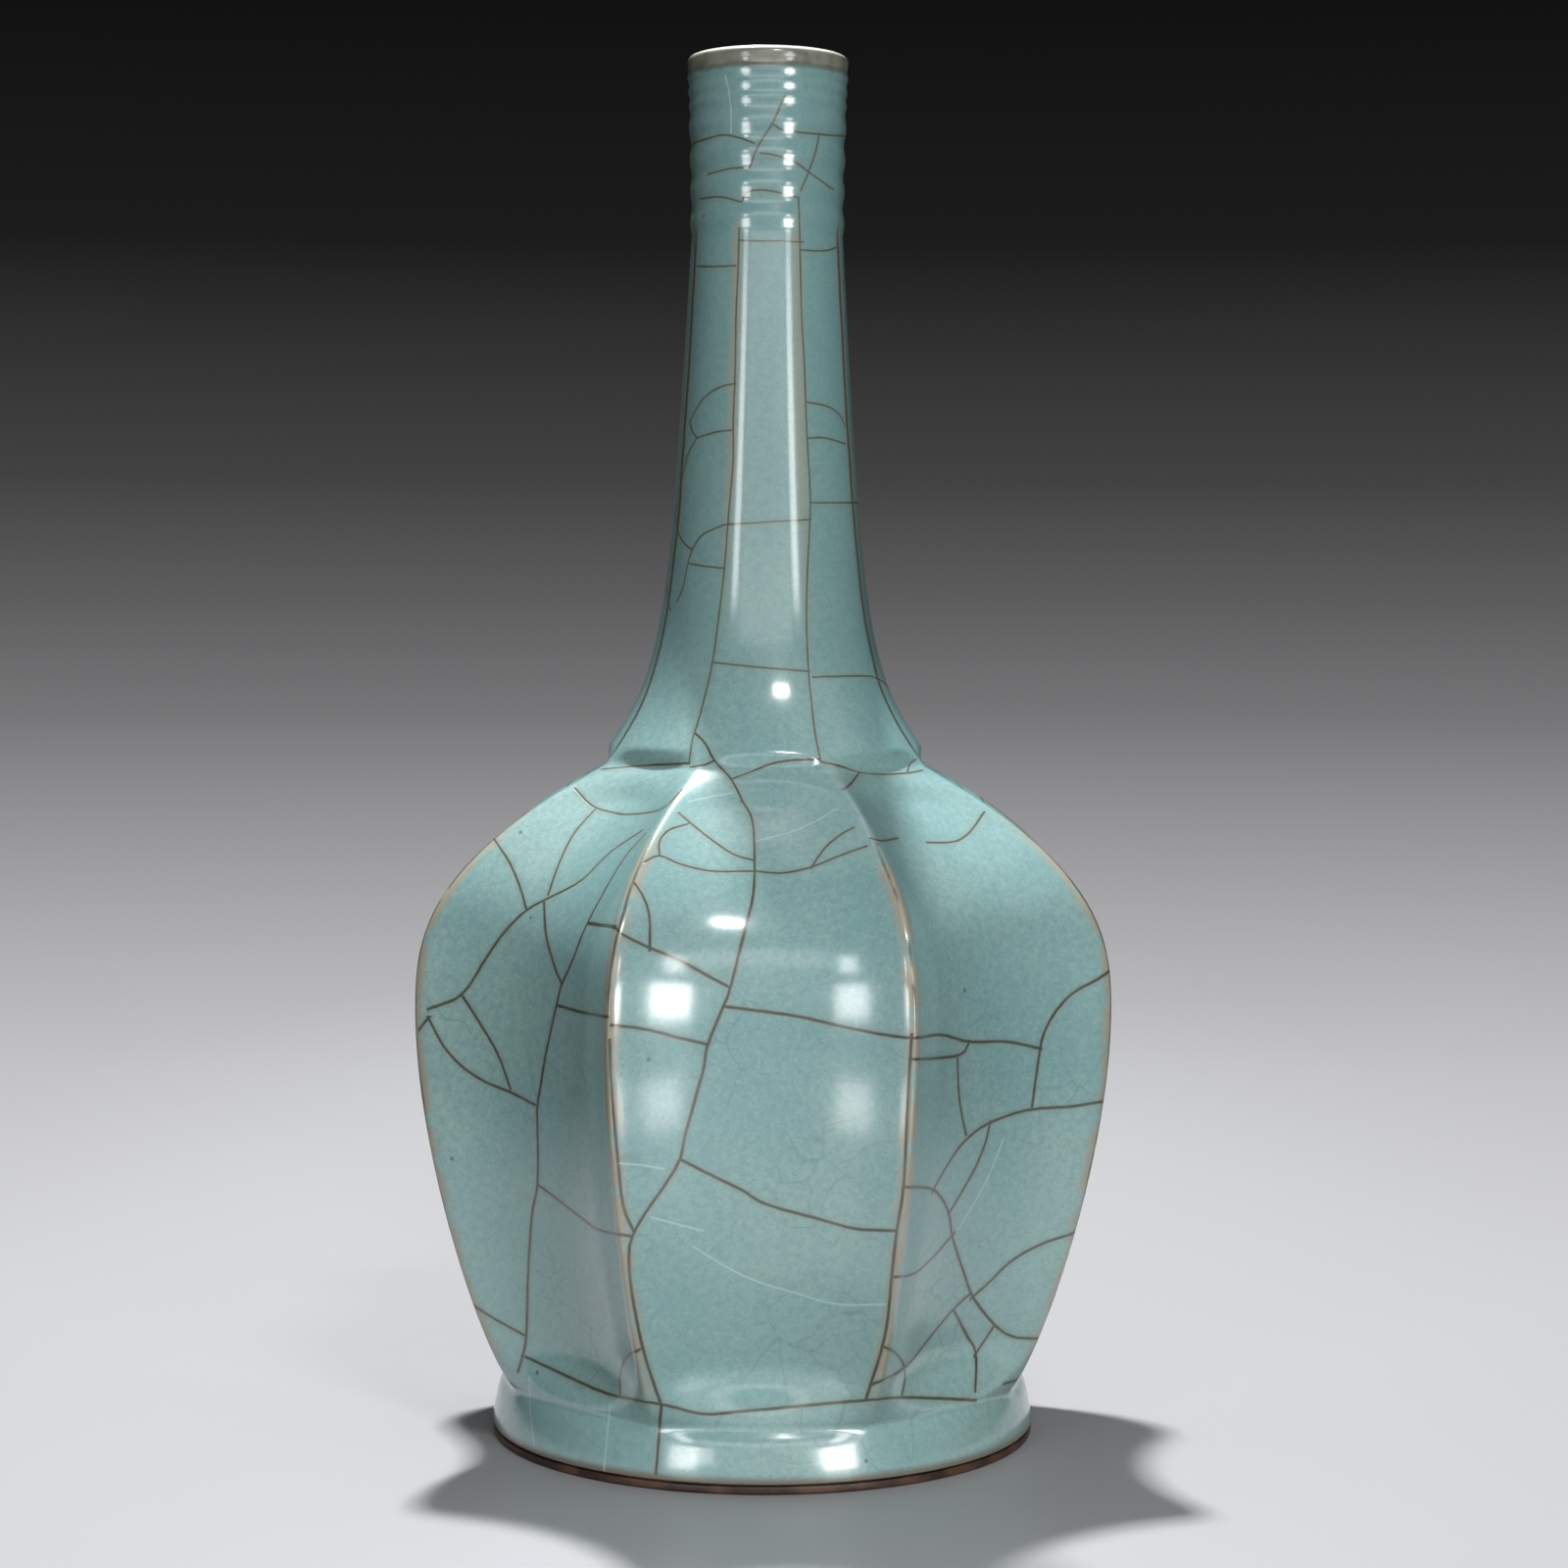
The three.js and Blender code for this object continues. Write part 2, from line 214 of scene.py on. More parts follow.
def finger_ring(z):
    """How far the rings that the thrower's fingers left round the mouth stand out: four wide and three narrow."""
    up = z - THROAT_Z
    wide = 0.4 * (1 - np.cos(2 * np.pi * up / 6.7)) / 2
    narrow = 0.25 * (1 - np.cos(2 * np.pi * (up - 26.8) / 3)) / 2
    return np.where((up > 0) & (up < 35.8), np.where(up < 26.8, wide, narrow), 0)


def ridge_radius(z):
    return np.interp(z, outline[:, 1], outline[:, 0]) + finger_ring(z)


def panel_radius(z):
    """The radius over the middle of a panel: hollow on the body, round at the foot and up the neck."""
    flat = 1 - math.cos(HALF_PANEL)
    deep = 1 - FLAT_RADIUS / WIDEST_RADIUS
    body = flat + (deep - flat) * smooth((CREASE_Z - z) / FLUTE_CREASE_RUN)
    body = body * smooth((z - FLUTE_FOOT_Z) / FLUTE_FOOT_RUN)
    neck = NECK_RIDGE_PROUD / ridge_radius(z) * smooth((THROAT_Z - z) / (THROAT_Z - CREASE_Z))
    neck = flat + (neck - flat) * smooth((z - CREASE_Z) / COLLAR_TURN_IN)
    return ridge_radius(z) * (1 - np.where(z < CREASE_Z, body, neck))


def rolled_in(radius_at, z, inset):
    """The radius left when a ball of the inset's size is rolled along the inside of an outline."""
    turn = np.linspace(-np.pi / 2, np.pi / 2, 49)[:, None]
    return (radius_at(z + inset * np.sin(turn)) - inset * np.cos(turn)).min(axis=0)


def section_radius(angle, ridge, panel):
    """A level section's radius: eight arcs that meet in rounded ridges, or a circle where the two radii are one."""
    half_chord = ridge * math.sin(HALF_PANEL)
    rise = panel - ridge * math.cos(HALF_PANEL)
    bow = 2 * panel * rise / (half_chord**2 + rise**2)
    soft = RIDGE_ROUNDING / ridge
    from_middle = angle - np.round(angle / (2 * HALF_PANEL)) * 2 * HALF_PANEL
    from_ridge = HALF_PANEL - np.abs(from_middle)
    turn = HALF_PANEL * (1 - (np.hypot(from_ridge, soft) - soft) / (np.hypot(HALF_PANEL, soft) - soft))
    lean = np.cos(turn) * (1 - bow)
    return panel * (2 - bow) / (lean + np.sqrt(lean**2 + bow * (2 - bow)))


def rows(*stretches):
    """Heights from each stretch's start to its end, at about its spacing."""
    parts = [np.linspace(low, high, max(round(abs(high - low) / gap), 1), endpoint=False) for low, high, gap in stretches]
    return np.concatenate([*parts, [stretches[-1][1]]])


def ring_of(z, radius):
    """One level ring of a shape: its height, and its radius over the ridges and the panels."""
    return (z, radius, radius)


def wall_rings(heights, inset=0.0):
    """Rings of the wall's own section at these heights, moved in by an inset."""
    ridges = rolled_in(ridge_radius, heights, inset)
    return list(zip(heights, ridges, rolled_in(panel_radius, heights, inset)))


def turned(name, rings, steps_per_panel, crowding, node, closed=True):
    """Spins a profile round the axis, then presses the eight panels into it. Its steps crowd to the ridges."""
    profile = bmesh.new()
    ring_layer = profile.verts.layers.int.new("ring")
    corners = []
    for index, (z, ridge, _) in enumerate(rings):
        start = (-ridge * math.sin(HALF_PANEL) * MM, -ridge * math.cos(HALF_PANEL) * MM, z * MM)
        corner = profile.verts.new(start)
        corner[ring_layer] = index
        corners.append(corner)
    edges = [profile.edges.new(pair) for pair in zip(corners, corners[1:])]
    if closed:
        edges.append(profile.edges.new((corners[-1], corners[0])))
    steps = PANELS * steps_per_panel
    bmesh.ops.spin(
        profile, geom=[*corners, *edges], axis=(0, 0, 1), angle=2 * math.pi, steps=steps, use_merge=True
    )
    bmesh.ops.remove_doubles(profile, verts=profile.verts[:], dist=1e-7)
    bmesh.ops.recalc_face_normals(profile, faces=profile.faces[:])
    mesh = bpy.data.meshes.new(name)
    profile.to_mesh(mesh)
    profile.free()

    places = np.zeros(len(mesh.vertices) * 3)
    mesh.vertices.foreach_get("co", places)
    places = places.reshape(-1, 3)
    ring_index = np.zeros(len(mesh.vertices), np.int32)
    mesh.attributes["ring"].data.foreach_get("value", ring_index)
    mesh.attributes.remove(mesh.attributes["ring"])
    heights, ridges, panels = np.array(rings)[ring_index].T
    turns = (np.arctan2(places[:, 0], -places[:, 1]) + HALF_PANEL) / (2 * math.pi)
    step = np.round(turns * steps) % steps
    across = (step % steps_per_panel) / steps_per_panel
    from_ridge = (2 * np.minimum(across, 1 - across)) ** crowding * HALF_PANEL
    ridge_angle = (step // steps_per_panel + (across >= 0.5)) * 2 * HALF_PANEL - HALF_PANEL
    angles = ridge_angle + np.where(across < 0.5, from_ridge, -from_ridge)
    radii = np.where(ridges > 0, section_radius(angles, np.maximum(ridges, 1), np.maximum(panels, 1)), 0)
    places = np.stack([radii * np.sin(angles), -radii * np.cos(angles), heights], axis=1) * MM
    mesh.vertices.foreach_set("co", places.ravel())
    mesh.shade_smooth()
    mesh.set_sharp_from_angle(angle=math.radians(50))

    piece = bpy.data.objects.new(name, mesh)
    bpy.context.scene.collection.objects.link(piece)
    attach(piece, "root")
    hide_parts(node)
    return piece


def rounded(z, radius, up, out, bend):
    """Rings round a corner: up and out are the signs of its two sides, and bend is its rounding."""
    turns = [math.pi / 2 * step / 6 for step in range(7)]
    return [ring_of(z + up * bend * (1 - math.cos(t)), radius - out * bend * (1 - math.sin(t))) for t in turns]


RIM_RADIUS = 59.4
BARE_RIM_HEIGHT = 1.8
RECESS_RADIUS = 52.4
SLAB_BOTTOM_Z = 8.6
CLAY_INSET = 1.3
foot_rings = [
    *rounded(0, RIM_RADIUS, 1, 1, 0.7),
    *rounded(BARE_RIM_HEIGHT, RIM_RADIUS, -1, 1, 0.35)[::-1],
    *wall_rings(rows((BARE_RIM_HEIGHT, SLAB_BOTTOM_Z, 1.2)), CLAY_INSET),
    ring_of(SLAB_BOTTOM_Z, RECESS_RADIUS - 1),
    ring_of(0.4, RECESS_RADIUS),
    ring_of(0, RECESS_RADIUS + 0.4),
]
foot_ring = turned("foot_ring_turned", foot_rings, 26, 1.0, "foot_ring")
bare = Finish("bare_rim")
burnt = bare.lay(bare.cloud(150, 4).ease(0.4, 0.62), srgb(46, 31, 24), srgb(82, 57, 43))
pits = bare.node("ShaderNodeTexVoronoi", None, {"Vector": bare.place, "Scale": 1100.0})
bare_relief = {"Strength": 0.4, "Distance": 0.00012, "Height": bare.cloud(1500, 4)}
foot_ring.data.materials.append(bare.dress({
    "Base Color": bare.lay(pits.ease(0.2, 0.08), burnt, srgb(38, 24, 18)),
    "Roughness": bare.cloud(300, 3) * 0.3 + 0.32,
    "Normal": bare.node("ShaderNodeBump", None, bare_relief),
}))

# THE BASE GLAZE
# A coat over the recess under the base, poured before the outer one. It stops short of the bare rim.
BASE_GLAZE = 0.9
CEILING_Z = 7.4
CLEARANCE = 0.3
COAT_EDGE_Z = BARE_RIM_HEIGHT + CLEARANCE


def recess_wall(z):
    return RECESS_RADIUS - CLEARANCE - z / SLAB_BOTTOM_Z


RECESS_FILLET = 2
fillet = rounded(CEILING_Z, recess_wall(CEILING_Z) - BASE_GLAZE, -1, 1, RECESS_FILLET)
base_rings = [
    *[ring_of(CEILING_Z, radius) for radius in np.linspace(0, fillet[0][1], 16)[:-1]],
    *fillet,
    *rounded(COAT_EDGE_Z, recess_wall(COAT_EDGE_Z) - BASE_GLAZE, 1, -1, 0.3)[::-1],
    ring_of(COAT_EDGE_Z, recess_wall(COAT_EDGE_Z)),
    ring_of(CEILING_Z + BASE_GLAZE, recess_wall(CEILING_Z)),
    ring_of(CEILING_Z + BASE_GLAZE, 0),
]
base_glaze = turned("base_glaze_poured", base_rings, 20, 1.0, "base_glaze", closed=False)

# THE INNER GLAZE
# Celadon poured into the vase and out again. It covers the floor and the wall, up to the coat that rolls over the lip.
SLAB_TOP_Z = 13.6
INNER_GLAZE = 0.7
ROLL_BOTTOM_Z = 288


def wall_inset(z):
    """How far inside the outer face the clay ends: a thick wall in the body, which thins up the neck."""
    return CLAY_INSET + 4.2 + (2.6 - 4.2) * smooth((z - CREASE_Z) / 36)


inner_bottom = SLAB_TOP_Z + CLEARANCE
inner_top = ROLL_BOTTOM_Z - CLEARANCE
inside_rows = rows((inner_bottom + INNER_GLAZE, 24, 1.5), (24, 130, 5), (130, 165, 1.5), (165, THROAT_Z, 5), (THROAT_Z, inner_top, 0.9))
outside_rows = rows((inner_bottom, 24, 4), (24, 130, 9), (130, 165, 3), (165, inner_top, 9))
inner_rings = [
    ring_of(inner_bottom, 0),
    *wall_rings(outside_rows, wall_inset(outside_rows) + CLEARANCE),
    *wall_rings(inside_rows, wall_inset(inside_rows) + CLEARANCE + INNER_GLAZE)[::-1],
    ring_of(inner_bottom + INNER_GLAZE, 0),
]
inner_glaze = turned("inner_glaze_poured", inner_rings, 16, 1.2, "inner_glaze", closed=False)

# THE OUTER GLAZE
# The thick, opaque celadon coat that gives the vase its looks. It runs from just above the bare rim to the lip,
# rolls over it and ends inside the mouth. It lies thin over the ridges and the lip, where the clay shows through.
OUTER_GLAZE = 1
LIP_RADIUS = 17.5
LIP_ROUNDING = 1.6
BORE_INSET = CLAY_INSET + 2.6 + CLEARANCE + INNER_GLAZE
shown_rows = rows(
    (COAT_EDGE_Z + 0.45, 22, 0.8), (22, 130, 2.2), (130, 152, 0.75), (152, 166, 1.4), (166, 258, 2.5),
    (258, RIM_Z - 3.4, 0.62), (RIM_Z - 3.4, RIM_Z - LIP_ROUNDING, 0.6),
)
hidden_rows = rows((COAT_EDGE_Z, 22, 4), (22, 130, 9), (130, 152, 2.5), (152, 258, 12), (258, RIM_Z - 2, 4))
bore_rows = rows((ROLL_BOTTOM_Z, RIM_Z - LIP_ROUNDING, 1.0))
bore_top = LIP_RADIUS - BORE_INSET
outer_rings = [
    ring_of(COAT_EDGE_Z, RIM_RADIUS - 0.8),
    *rounded(COAT_EDGE_Z, float(ridge_radius(COAT_EDGE_Z + 0.45)), 1, 1, 0.45)[:-1],
    *wall_rings(shown_rows)[:-1],
    *rounded(RIM_Z, LIP_RADIUS, -1, 1, LIP_ROUNDING)[::-1],
    ring_of(RIM_Z + 0.0, (LIP_RADIUS + bore_top) / 2),
    *rounded(RIM_Z, bore_top, -1, -1, LIP_ROUNDING),
    *wall_rings(bore_rows, BORE_INSET)[::-1][1:],
    ring_of(ROLL_BOTTOM_Z, float(ridge_radius(ROLL_BOTTOM_Z)) - BORE_INSET + INNER_GLAZE),
    ring_of(RIM_Z - OUTER_GLAZE - 0.6, bore_top + INNER_GLAZE),
    ring_of(RIM_Z - OUTER_GLAZE, bore_top + INNER_GLAZE + 0.6),
    ring_of(RIM_Z - OUTER_GLAZE, LIP_RADIUS - OUTER_GLAZE - 0.6),
    *wall_rings(hidden_rows, OUTER_GLAZE)[::-1],
]
outer_glaze = turned("outer_glaze_dipped", outer_rings, 40, 1.6, "outer_glaze")

# THE CAMERA
# It stands where the photograph was taken from, and comes before the cracks, which are traced from there.
PHOTO_SIZE = 1600
camera_data = bpy.data.cameras.new("camera")
camera_data.lens = 76.35
camera = bpy.data.objects.new("camera", camera_data)
camera.location = (0.004, -0.7287, 0.1829)
camera.rotation_euler = (math.radians(90 - 3.2), math.radians(-0.26), 0)
bpy.context.scene.collection.objects.link(camera)
bpy.context.scene.camera = camera
bpy.context.view_layer.update()

# THE CRACKLE
# The glaze shrank more than the clay under it and cracked as it cooled. The cracks were then stained brown.
# Those in view follow the photograph, as pixels of its 1600 x 1600. Behind, they grow from these in the same way.
NECK_CRACKS = [
    [(801, 97), (788, 126), (774, 148), (765, 171)],
    [(788, 126), (800, 133), (835, 137), (861, 139)],
    [(711, 145), (736, 138), (752, 140), (770, 146)],
    [(775, 156), (793, 159), (812, 166), (826, 176), (851, 194)],
    [(836, 137), (832, 156), (825, 176), (817, 195)],
    [(722, 178), (745, 172), (765, 171)],
    [(714, 203), (735, 201), (756, 206)],
    [(757, 206), (761, 197), (780, 194), (816, 202)],
    [(711, 272), (731, 272), (751, 271)],
    [(753, 245), (776, 246), (798, 246), (820, 247)],
    [(817, 255), (842, 256), (854, 252)],
    [(751, 391), (735, 395), (718, 406), (708, 422), (703, 434), (711, 447)],
    [(711, 447), (730, 441), (747, 439)],
    [(711, 447), (702, 463), (697, 485), (691, 510), (690, 535), (696, 552), (706, 561)],
    [(822, 410), (845, 415), (858, 425), (862, 436)],
    [(824, 447), (842, 447), (863, 453)],
    [(826, 513), (848, 513), (872, 513)],
    [(706, 561), (715, 547), (735, 537), (745, 535), (780, 533), (828, 530)],
    [(706, 561), (701, 577), (697, 600), (691, 613)],
    [(702, 575), (720, 578), (739, 580)],
    [(728, 676), (756, 679), (787, 682), (827, 685)],
    [(829, 691), (862, 690), (887, 690), (896, 693)],
    [(926, 788), (929, 779), (935, 775)],
    [(754, 232), (753, 274), (751, 317), (750, 374), (748, 432), (748, 470), (743, 527), (739, 579), (733, 631),
     (727, 675), (719, 711), (712, 737), (706, 757), (703, 779)],
    [(815, 202), (816, 231), (818, 317), (821, 374), (823, 432), (825, 470), (827, 513), (824, 585), (823, 631),
     (825, 682), (828, 714), (831, 743), (835, 766), (838, 778)],
]
FRONT_CRACKS = [
    [(709, 748), (719, 758), (729, 776), (746, 795), (758, 818), (768, 839), (770, 889), (768, 917), (763, 937),
     (756, 965), (745, 1008), (738, 1027), (722, 1066), (718, 1090), (710, 1119), (699, 1159), (694, 1183),
     (678, 1210), (659, 1237), (647, 1258), (642, 1274), (643, 1306), (650, 1349), (659, 1387), (675, 1435)],
    [(622, 1060), (624, 1114), (631, 1189), (636, 1231), (647, 1257)],
    [(930, 1060), (926, 1127), (922, 1210), (915, 1256), (910, 1301), (903, 1363), (883, 1430)],
    [(694, 1183), (721, 1197), (758, 1215), (782, 1229), (839, 1245), (873, 1254), (915, 1256)],
    [(739, 1027), (770, 1031), (818, 1038), (875, 1051), (928, 1059), (960, 1056), (989, 1063), (1027, 1063),
     (1062, 1070)],
    [(600, 943), (627, 947), (634, 953), (663, 967), (692, 979), (719, 994), (745, 1008)],
    [(647, 901), (656, 914), (663, 935), (663, 967)],
    [(622, 1046), (657, 1050), (692, 1059), (722, 1066)],
    [(692, 829), (706, 841), (729, 859), (749, 872), (769, 878)],
    [(657, 880), (673, 873), (692, 881), (726, 889), (770, 889), (797, 891), (827, 885), (857, 873), (885, 863)],
    [(830, 882), (841, 866), (857, 852), (872, 844)],
    [(702, 841), (683, 847), (673, 859), (673, 873)],
    [(704, 783), (718, 781), (729, 776)],
    [(746, 795), (765, 788), (785, 780), (806, 776), (837, 775)],
    [(837, 777), (858, 782), (877, 788), (900, 790), (925, 789), (942, 786)],
    [(877, 788), (868, 800), (860, 806)],
]
LEFT_CRACKS = [
    [(613, 785), (660, 781), (704, 779)],
    [(586, 804), (604, 822), (625, 829), (645, 831), (676, 825), (696, 805)],
    [(608, 825), (586, 850), (570, 882), (559, 914)],
    [(505, 858), (519, 879), (530, 904), (537, 928)],
    [(656, 847), (621, 871), (594, 898), (559, 917), (537, 929), (514, 952), (495, 979), (471, 1015), (436, 1030)],
    [(659, 850), (634, 880), (600, 941), (584, 981), (573, 1005), (567, 1030), (557, 1075), (550, 1118),
     (548, 1128), (549, 1182), (548, 1213), (543, 1238), (539, 1297), (537, 1363), (533, 1384), (528, 1401)],
    [(555, 920), (557, 954), (565, 984), (573, 1004)],
    [(600, 942), (615, 944), (629, 946)],
    [(569, 1026), (594, 1033), (622, 1038)],
    [(471, 1015), (492, 1048), (509, 1078), (521, 1112)],
    [(437, 1039), (452, 1067), (471, 1088), (495, 1104), (520, 1114), (547, 1128)],
    [(437, 1039), (427, 1051)],
    [(548, 1208), (568, 1223), (594, 1243), (612, 1255), (646, 1262)],
    [(492, 1338), (512, 1350), (536, 1363)],
    [(653, 1377), (640, 1384), (633, 1401), (633, 1423)],
]
RIGHT_CRACKS = [
    [(1125, 996), (1119, 1000), (1094, 1014), (1076, 1034), (1065, 1055), (1061, 1073), (1053, 1130)],
    [(927, 1081), (953, 1080), (981, 1076), (989, 1064)],
    [(977, 1078), (979, 1122), (986, 1159)],
    [(1125, 1124), (1094, 1129), (1053, 1132), (1027, 1139), (1002, 1150), (981, 1168), (966, 1190), (953, 1213)],
    [(1010, 1147), (1005, 1168), (993, 1196), (969, 1237)],
    [(921, 1211), (950, 1213), (963, 1226), (969, 1242), (972, 1263), (984, 1300), (993, 1324), (1015, 1352),
     (1033, 1364), (1054, 1366)],
    [(972, 1260), (950, 1285), (932, 1300), (912, 1303)],
    [(1091, 1260), (1064, 1269), (1033, 1286), (1009, 1309), (993, 1323)],
    [(989, 1321), (972, 1337), (947, 1367), (923, 1396), (889, 1413)],
    [(973, 1337), (987, 1364), (996, 1381), (995, 1421)],
    [(1015, 1352), (996, 1381)],
    [(900, 1373), (914, 1381), (923, 1395), (923, 1410), (920, 1424)],
    [(1005, 828), (989, 850), (973, 859), (946, 860)],
    [(887, 855), (900, 858), (917, 855)],
]
FOOT_CRACKS = [
    [(535, 1384), (576, 1403), (614, 1420), (641, 1427), (679, 1434), (717, 1443), (748, 1441), (794, 1437),
     (824, 1434), (882, 1429), (920, 1426), (958, 1427), (997, 1429)],
    [(675, 1434), (673, 1455), (669, 1505)],
]
PALE_CRACKS = [
    [(702, 818), (725, 813), (748, 809)],
    [(772, 858), (807, 849), (830, 839), (855, 825)],
    [(632, 1187), (655, 1189), (678, 1193)],
    [(664, 1242), (690, 1249), (718, 1256)],
    [(707, 1272), (747, 1296), (774, 1308), (814, 1320), (855, 1331), (903, 1331)],
    [(1024, 1162), (1005, 1208), (978, 1254)],
    [(623, 1432), (619, 1470), (616, 1505)],
    [(540, 1405), (541, 1440), (545, 1475)],
    [(740, 76), (744, 95), (746, 115), (746, 136)],
]
random.seed(27)
CRACK_GAP = 1.0 * MM
glaze_mesh = outer_glaze.data
glaze_tree = BVHTree.FromPolygons([v.co for v in glaze_mesh.vertices], [p.vertices for p in glaze_mesh.polygons])


def curved(route, steps=8):
    """Points on a smooth curve through the corners of a route."""
    ends = np.array([2 * np.subtract(route[0], 0) - route[1], *route, 2 * np.subtract(route[-1], 0) - route[-2]], float)
    share = np.linspace(0, 1, steps, endpoint=False)[:, None]
    spans = []
    for before, start, end, after in zip(ends, ends[1:], ends[2:], ends[3:]):
        bend = 2 * before - 5 * start + 4 * end - after
        twist = 3 * (start - end) + after - before
        spans.append(start + 0.5 * share * (end - before + share * (bend + share * twist)))
    return np.concatenate([*spans, ends[-2:-1]])


def spaced(points, gap=CRACK_GAP):
    """The same line with its points a gap apart."""
    along = np.concatenate([[0], np.cumsum(np.linalg.norm(np.diff(points, axis=0), axis=1))])
    stops = np.linspace(0, along[-1], max(round(along[-1] / gap), 1) + 1)
    return np.stack([np.interp(stops, along, points[:, axis]) for axis in range(3)], axis=1)


def traced(route):
    """A crack in the photograph, cast from the camera onto the glaze."""
    lens = camera_data.lens / camera_data.sensor_width * PHOTO_SIZE
    turn = camera.matrix_world.to_3x3()
    hits = []
    for x, y in curved(route):
        sight = turn @ Vector(((x - PHOTO_SIZE / 2) / lens, (PHOTO_SIZE / 2 - y) / lens, -1))
        hit = glaze_tree.ray_cast(camera.location, sight.normalized())[0]
        if hit is not None:
            hits.append(hit)
    return spaced(np.array(hits))


def on_glaze(azimuth, z):
    """The point of the glaze at degrees round from the front, and at a height."""
    angle = math.radians(azimuth)
    radius = float(section_radius(angle, ridge_radius(z), panel_radius(z)))
    return np.array((radius * math.sin(angle), -radius * math.cos(angle), z)) * MM


def level_route(azimuth, low, high, drift=0.0):
    """A crack that climbs the glaze at about one azimuth."""
    return spaced(np.array([on_glaze(azimuth + drift * math.sin(z / 9), z) for z in np.arange(low, high, 1.0)]))


STAINED, FINE, PALE = (0.31, 1.0), (0.27, 0.85), (0.22, -1.0)
cracks = [(traced(route), *STAINED) for route in FRONT_CRACKS + LEFT_CRACKS + RIGHT_CRACKS + FOOT_CRACKS]
cracks += [(traced(route), *FINE) for route in NECK_CRACKS]
cracks += [(traced(route), *PALE) for route in PALE_CRACKS]


def azimuth_of(point):
    return math.degrees(math.atan2(point[0], -point[1]))


def grow(start, heading, reach, edge):
    """Lets a crack run on over the glaze until it meets another, as real ones do, or turns to the front."""
    others = np.concatenate([points for points, *_ in cracks])
    point, heading, bend, line = Vector(start), Vector(heading).normalized(), random.uniform(-0.02, 0.02), [start]
    for step in range(int(reach / CRACK_GAP)):
        near, normal = glaze_tree.find_nearest(point + heading * CRACK_GAP)[:2]
        bend = 0.96 * bend + random.uniform(-0.012, 0.012)
        heading = (near - point).normalized()
        heading = (heading + heading.cross(normal) * bend).normalized()
        point = near
        line.append(np.array(point))
        gaps = np.linalg.norm(others - line[-1], axis=1)
        if not 4 < point.z / MM < 297 or abs(azimuth_of(point)) < edge:
            break
        if step > 4 and gaps.min() < 1.6 * CRACK_GAP:
            line.append(others[gaps.argmin()])
            return np.array(line), True
    return np.array(line), False


for points, *style in list(cracks):
    for end, inner in ((points[-1], points[-4]), (points[0], points[3])) if len(points) > 6 else ():
        if 66 < abs(azimuth_of(end)) and style[1] > 0:
            line, met = grow(end, end - inner, 0.09, 64)
            cracks.append((line, *style))
for ridge in range(2, 6):
    cracks.append((level_route(22.5 + 45 * ridge, 17 + 9 * (ridge % 3), 92 + 6 * (ridge % 2)), *STAINED))
cracks.append((spaced(np.array([on_glaze(a, 15.6) for a in np.arange(62, 290, 1.0)])), *STAINED))
tries = 0
while tries < 900 and len(cracks) < 260:
    tries += 1
    points = cracks[random.randrange(len(cracks))][0]
    if len(points) < 12:
        continue
    at = random.randrange(5, len(points) - 5)
    if abs(azimuth_of(points[at])) < 80:
        continue
    along = Vector(points[at + 1] - points[at - 1]).normalized()
    normal = glaze_tree.find_nearest(Vector(points[at]))[1]
    heading = along.cross(normal) * random.choice((-1, 1)) + along * random.uniform(-0.6, 0.6)
    others = np.concatenate([p for p, *_ in cracks])
    room = 9 if points[at][2] < CREASE_Z * MM else 6
    ahead = points[at] + np.array(heading.normalized()) * room * MM
    if np.linalg.norm(others - ahead, axis=1).min() < 0.75 * room * MM:
        continue
    line, met = grow(points[at], heading, 0.11, 76)
    if met and len(line) > 9:
        cracks.append((line, *(STAINED if random.random() < 0.6 else FINE)))

faces = len(glaze_mesh.polygons)
corner_vertices = np.zeros(faces * 4, np.int32)
glaze_mesh.loops.foreach_get("vertex_index", corner_vertices)
vertex_places = np.zeros(len(glaze_mesh.vertices) * 3)
glaze_mesh.vertices.foreach_get("co", vertex_places)
vertex_places = vertex_places.reshape(-1, 3)
corners = vertex_places[corner_vertices].reshape(faces, 4, 3)
middles = corners.mean(axis=1)
face_normals = np.zeros(faces * 3)
glaze_mesh.polygons.foreach_get("normal", face_normals)
face_normals = face_normals.reshape(-1, 3)

